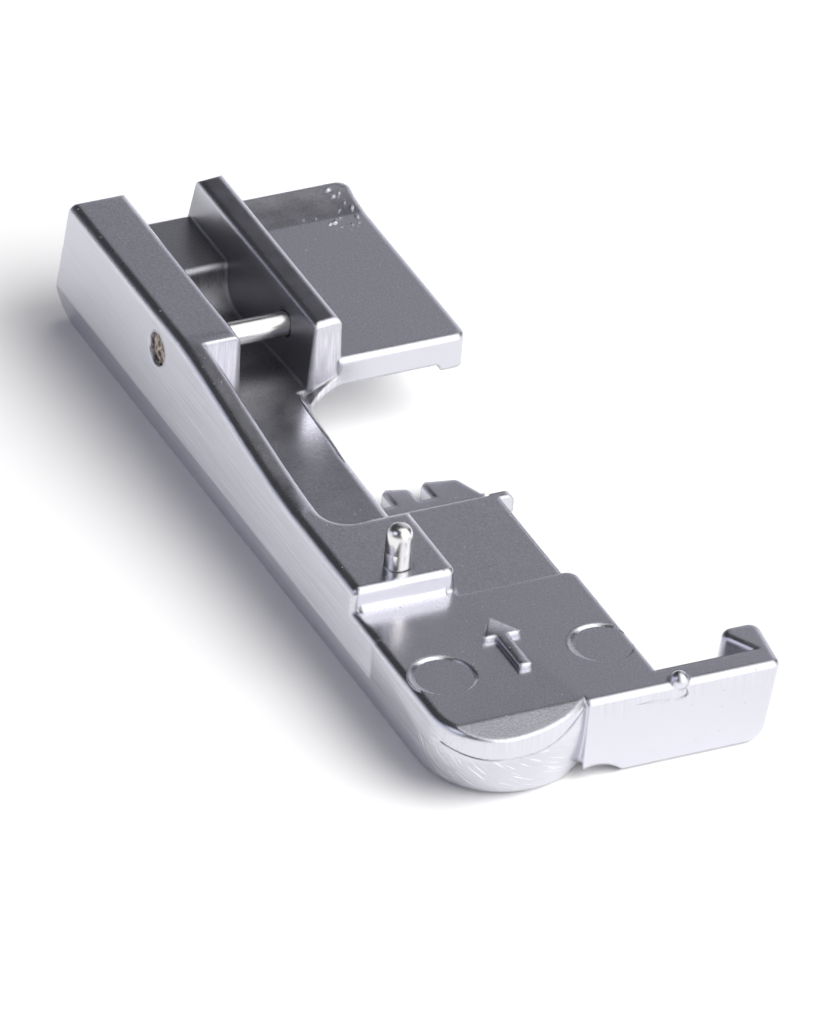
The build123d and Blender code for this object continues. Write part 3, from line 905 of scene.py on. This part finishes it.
@dataclass
class Ridge:
    """Fine tapered ridge, such as a fold line, that follows a few places on the casting."""

    name: str
    places: tuple[Triple, ...]
    radius: float
    end_share: float = 0.25
    order: int = 3
    resolution: int = 6
    roundness: int = 3
    merge_share: float = 0.05

    def build(self, material: bpy.types.Material) -> bpy.types.Object:
        """Runs a smooth curve through the places and makes it a mesh.

        Args:
            material: the casting's finish.

        Returns:
            The ridge.
        """
        bpy.ops.object.select_all(action="DESELECT")
        bpy.ops.curve.primitive_nurbs_path_add(radius=MM)
        ridge = bpy.context.view_layer.objects.active
        ridge.name = self.name
        line = ridge.data
        line.splines.clear()
        spline = line.splines.new("NURBS")
        last = len(self.places) - 1
        spline.points.add(last)
        for index, (point, place) in enumerate(zip(spline.points, self.places)):
            point.co = (*row(*place), 1.0)
            point.radius = self.end_share if index in (0, last) else 1.0
        spline.order_u = self.order
        spline.use_endpoint_u = True
        spline.resolution_u = self.resolution
        line.bevel_depth = self.radius * MM
        line.bevel_resolution = self.roundness
        line.use_fill_caps = True
        bpy.ops.object.convert(target="MESH")
        bpy.ops.object.transform_apply(location=True, rotation=True, scale=True)
        ridge = bpy.context.view_layer.objects.active
        bpy.ops.object.mode_set(mode="EDIT")
        bpy.ops.mesh.select_all(action="SELECT")
        bpy.ops.mesh.remove_doubles(threshold=self.radius * self.merge_share * MM)
        bpy.ops.mesh.normals_make_consistent(inside=False)
        bpy.ops.object.mode_set(mode="OBJECT")
        bpy.ops.object.shade_smooth_by_angle(angle=SOFT_ANGLE)
        settle(ridge, material)
        return ridge


@dataclass
class Blisters:
    """Small lumps in the plating at the wing's rear right corner.

    A spot gives its place in the foot's own mm, its length and its turn in degrees.
    """

    name: str = "plating_blisters"
    spots: tuple[tuple[float, float, float, float, float], ...] = (
        (11.55, 3.10, 4.45, 0.20, 30),
        (11.85, 3.03, 4.46, 0.26, 40),
        (12.13, 2.86, 4.48, 0.13, 10),
        (12.20, 3.38, 4.43, 0.10, 70),
        (12.46, 3.42, 4.43, 0.16, 80),
        (12.62, 3.66, 4.43, 0.11, 60),
        (12.20, 3.80, 4.43, 0.12, 20),
        (11.63, 3.62, 4.43, 0.08, 0),
        (12.50, 1.40, 4.64, 0.17, 10),
        (12.78, 1.90, 4.58, 0.15, 75),
        (12.70, 1.45, 4.63, 0.10, 60),
        (11.13, 2.55, 4.50, 0.09, 40),
        (10.55, 2.50, 4.51, 0.07, 0),
        (12.45, 0.95, 4.70, 0.24, 20),
        (12.85, 1.20, 4.64, 0.20, 60),
        (12.95, 2.30, 4.53, 0.22, 75),
        (12.90, 2.95, 4.46, 0.20, 85),
        (12.35, 2.35, 4.53, 0.12, 30),
        (11.95, 3.45, 4.43, 0.15, 50),
        (12.80, 3.35, 4.43, 0.17, 70),
    )
    narrowness: float = 0.5
    height_share: float = 0.32
    unevenness: float = 0.088
    smoothing: float = 0.5
    first_seed: int = 3

    def build(self, material: bpy.types.Material) -> bpy.types.Object:
        """Models one lump, copies it to each spot and joins the copies.

        Args:
            material: the casting's finish.

        Returns:
            The lumps, as one piece.
        """
        lumps = []
        for index, (x, forward, height, length, turn) in enumerate(self.spots):
            bpy.ops.object.select_all(action="DESELECT")
            bpy.ops.mesh.primitive_ico_sphere_add(subdivisions=3, radius=MM)
            lump = bpy.context.view_layer.objects.active
            bpy.ops.object.mode_set(mode="EDIT")
            bpy.ops.mesh.select_all(action="SELECT")
            bpy.ops.transform.vertex_random(
                offset=self.unevenness * MM, seed=index + self.first_seed
            )
            bpy.ops.mesh.vertices_smooth(factor=self.smoothing, repeat=2)
            bpy.ops.object.mode_set(mode="OBJECT")
            lump.scale = (length, length * self.narrowness, length * self.height_share)
            lump.rotation_euler = (0, 0, math.radians(turn))
            lump.location = row(x, forward, height)
            bpy.ops.object.transform_apply(location=True, rotation=True, scale=True)
            lumps.append(lump)
        for lump in lumps:
            lump.select_set(True)
        bpy.ops.object.join()
        joined = bpy.context.view_layer.objects.active
        joined.name = self.name
        bpy.ops.object.shade_smooth_by_angle(angle=SOFT_ANGLE)
        settle(joined, material)
        return joined


@dataclass
class HingePinEnd:
    """Peened left end of the hinge pin, which fills the mouth of the left ear's hole.

    Each of the crown's steps gives the new ring's size over the last one and its share of the
    crown's height.
    """

    name: str = "hinge_pin_end"
    centre: tuple[float, float] = (9.97, 4.86)
    inner: float = 0.58
    face: float = 0.26
    radius: float = 0.74
    vertices: int = 40
    crown: float = 0.12
    crown_steps: tuple[Range, ...] = ((0.72, 0.55), (0.6, 0.3), (0.45, 0.15))
    unevenness: float = 0.035
    seed: int = 5

    def build(self, material: bpy.types.Material) -> bpy.types.Object:
        """Raises the end's face in rings and roughens it as a hammer does.

        Args:
            material: the peened end's finish.

        Returns:
            The pin's end.
        """
        seat, face = row(self.inner, *self.centre), row(self.face, *self.centre)
        leftwards = (0.0, -math.pi / 2, 0.0)
        end = add_circle(self.name, seat, self.radius, self.vertices, rotation=leftwards)
        step = (self.face - self.inner) * MM
        bpy.ops.mesh.extrude_region_move(TRANSFORM_OT_translate={"value": (step, 0, 0)})
        for share, rise in self.crown_steps:
            raise_end((-rise * self.crown * MM, 0, 0), (1, share, share), face)
        bpy.ops.mesh.select_all(action="SELECT")
        bpy.ops.mesh.quads_convert_to_tris()
        bpy.ops.mesh.subdivide(number_cuts=1)
        # The random move goes by the vertices' numbers, which subdivide gives in another order on
        # each run, so they are numbered by their distance from the frame's origin first.
        bpy.ops.mesh.sort_elements(type="CURSOR_DISTANCE", elements={"VERT"})
        bpy.ops.transform.vertex_random(offset=self.unevenness * MM, seed=self.seed)
        bpy.ops.mesh.normals_make_consistent(inside=False)
        bpy.ops.object.mode_set(mode="OBJECT")
        bpy.ops.object.shade_smooth_by_angle(angle=SOFT_ANGLE)
        settle(end, material)
        return end


@dataclass
class GuidePin:
    """Guide pin on the block, with a fine groove round it and a domed top.

    Each ring gives the pin's radius at a height over the table.
    """

    name: str = "guide_pin_turned"
    centre: tuple[float, float] = (2.65, 28.1)
    vertices: int = 48
    rings: tuple[Range, ...] = (
        (0.50, 3.86),
        (0.50, 5.00),
        (0.575, 5.05),
        (0.575, 5.72),
        (0.565, 5.77),
        (0.565, 5.83),
        (0.575, 5.88),
        (0.575, 6.46),
        (0.555, 6.64),
        (0.50, 6.80),
        (0.42, 6.91),
        (0.31, 6.98),
        (0.18, 7.01),
        (0.06, 7.02),
    )

    def build(self, material: bpy.types.Material) -> bpy.types.Object:
        """Draws the seat's circle and raises it ring by ring.

        Args:
            material: the steel's finish.

        Returns:
            The guide pin.
        """
        radius, height = self.rings[0]
        pin = add_circle(self.name, row(*self.centre, height), radius, self.vertices)
        for next_radius, next_height in self.rings[1:]:
            share = next_radius / radius
            step = (0, 0, (next_height - height) * MM)
            raise_end(step, (share, share, 1), row(*self.centre, 0))
            radius, height = next_radius, next_height
        bpy.ops.mesh.select_all(action="SELECT")
        bpy.ops.mesh.normals_make_consistent(inside=False)
        bpy.ops.object.mode_set(mode="OBJECT")
        bpy.ops.object.shade_smooth_by_angle(angle=FIRM_ANGLE)
        settle(pin, material)
        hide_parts("guide_pin")
        return pin


def sky_way(azimuth: float, elevation: float) -> Vector:
    """Works out a direction in the studio.

    Args:
        azimuth: in degrees, 0 behind the foot and 90 on its right.
        elevation: in degrees over the table.

    Returns:
        The unit vector that way.
    """
    turn, lift = math.radians(azimuth), math.radians(elevation)
    flat = math.cos(lift)
    return Vector((math.sin(turn) * flat, math.cos(turn) * flat, math.sin(lift)))


@dataclass(frozen=True)
class SkyLobe:
    """A soft round patch of light in the studio's surroundings, with its angles in degrees."""

    azimuth: float
    elevation: float
    core: float
    reach: float
    strength: float
    tint: Triple = (1.0, 1.0, 1.0)

    def light(self, maker: NodeMaker, way: Socket) -> Socket:
        """Works out the patch's light.

        Args:
            maker: the surroundings' node maker.
            way: the direction that is looked at.

        Returns:
            The light from that direction.
        """
        facing = maker.dot(way, sky_way(self.azimuth, self.elevation))
        edge, full = (math.cos(math.radians(angle)) for angle in (self.reach, self.core))
        colour = [self.strength * part for part in self.tint]
        return maker.scaled(colour, maker.span(facing, edge, full))


@dataclass
class Studio:
    """Table, surroundings, lamps and camera of the picture."""

    lobes: tuple[SkyLobe, ...] = (
        SkyLobe(147, 30, 26, 50, 1.72, (1.0, 0.985, 0.95)),
        SkyLobe(92, 66, 20, 32, 1.25),
        SkyLobe(45, 20, 8, 26, 0.65, (0.97, 0.97, 1.05)),
        SkyLobe(262, 38, 8, 24, 1.1, (0.93, 0.95, 1.1)),
        SkyLobe(292, 4, 8, 28, 0.75, (0.86, 0.89, 1.15)),
    )
    base: Triple = (0.05, 0.05, 0.054)
    horizon: Triple = (0.3, 0.3, 0.32)
    horizon_top: float = 30.0
    horizon_low: float = 0.05
    table_size: float = 4.0
    table_tint: Triple = (0.9, 0.9, 0.9)
    table_roughness: float = 0.9
    key_azimuth: float = 144.0
    key_elevation: float = 43.0
    key_distance: float = 0.5
    key_size: float = 0.5
    key_power: float = 2.6
    azimuth: float = -28.83
    elevation: float = 34.18
    roll: float = 5.44
    target: Triple = (-0.000935, -0.001104, 0.002)
    distance: float = 0.66605
    focal_px: float = 15800.0
    long_side_px: float = 1024.0
    sensor: float = 36.0

    def build(self) -> None:
        """Makes the whole studio."""
        self.make_surroundings()
        self.make_table()
        self.make_key_lamp()
        self.make_camera()
        bpy.context.scene.view_settings.view_transform = "Standard"

    def make_surroundings(self) -> None:
        """Builds the soft light that the metal mirrors."""
        world = bpy.data.worlds.new("studio surroundings")
        bpy.context.scene.world = world
        world.use_nodes = True
        maker = NodeMaker(world.node_tree)
        way = maker.add("TexCoord").outputs["Generated"]
        height = maker.add("SeparateXYZ", Vector=way).outputs[2]
        top = math.sin(math.radians(self.horizon_top))
        light = maker.mix(maker.span(height, top, self.horizon_low), self.base, self.horizon)
        for lobe in self.lobes:
            joined = maker.add("VectorMath", {"operation": "ADD"})
            for socket, part in zip(joined.inputs, (light, lobe.light(maker, way))):
                maker.feed(socket, part)
            light = joined.outputs[0]
        background = maker.add("Background", Color=light, Strength=1.0)
        maker.add("OutputWorld", Surface=background.outputs[0])

    def make_table(self) -> None:
        """Makes the pale table top under the foot."""
        bpy.ops.object.select_all(action="DESELECT")
        bpy.ops.mesh.primitive_plane_add(size=self.table_size)
        table = bpy.context.view_layer.objects.active
        table.name = "table"
        made, maker = start_material("pale table")
        maker.surface(Base_Color=(*self.table_tint, 1.0), Roughness=self.table_roughness)
        dress(table, made)

    def make_key_lamp(self) -> None:
        """Makes the large soft key lamp at the front right."""
        lamp = bpy.data.lights.new("key lamp", "AREA")
        lamp.shape = "DISK"
        lamp.size = self.key_size
        lamp.energy = self.key_power
        holder = bpy.data.objects.new("key lamp", lamp)
        bpy.context.scene.collection.objects.link(holder)
        way = sky_way(self.key_azimuth, self.key_elevation)
        holder.location = way * self.key_distance
        holder.rotation_euler = way.to_track_quat("Z", "Y").to_euler()
        holder.visible_glossy = False

    def make_camera(self) -> None:
        """Makes the long-lens camera at the photograph's viewing angle."""
        camera = bpy.data.cameras.new("camera")
        holder = bpy.data.objects.new("camera", camera)
        bpy.context.scene.collection.objects.link(holder)
        turn, lift, roll = map(math.radians, (self.azimuth, self.elevation, self.roll))
        flat = math.cos(lift)
        back = Vector((math.sin(turn) * flat, -math.cos(turn) * flat, math.sin(lift)))
        right = Vector((math.cos(turn), math.sin(turn), 0.0))
        up = back.cross(right)
        right, up = (
            math.cos(roll) * right + math.sin(roll) * up,
            math.cos(roll) * up - math.sin(roll) * right,
        )
        axes = Matrix((right, up, back)).transposed().to_4x4()
        holder.matrix_world = Matrix.Translation(Vector(self.target) + back * self.distance) @ axes
        camera.sensor_width = self.sensor
        camera.lens = self.focal_px / self.long_side_px * self.sensor
        camera.clip_start = self.distance / 10
        camera.clip_end = self.table_size * 2
        bpy.context.scene.camera = holder


def main() -> None:
    """Builds the dressed foot and its studio, piece by piece."""
    logging.basicConfig(level=logging.INFO, format="%(name)s: %(message)s")
    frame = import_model()
    nodes = frame["nodes"]
    casting = Casting(nodes["foot_body"]).build()
    LOG.info("casting: %d faces", len(casting.data.polygons))
    plating = casting.material_slots[0].material
    marks = (
        FeedArrow(),
        WitnessRing("witness_ring_left", (1.67, 34.80)),
        WitnessRing("witness_ring_right", (9.00, 34.85), cut_at=10.1),
        Ridge("toe_fold_line", TOE_FOLD, radius=0.04),
        Ridge("channel_rim", CHANNEL_RIM, radius=0.06),
        Ridge("bead_ridge", BEAD_RIDGE, radius=0.05),
        Blisters(),
    )
    for mark in marks:
        LOG.info("%s added", mark.build(plating).name)
    LOG.info("%s added", HingePinEnd().build(PeenedEndFinish().material()).name)
    steel = TurnedSteelFinish().material()
    LOG.info("%s added", GuidePin().build(steel).name)
    dress(nodes["hinge_pin"], steel)
    LOG.info("hinge pin dressed")
    Studio().build()
    LOG.info("studio ready")


if __name__ == "__main__":
    main()
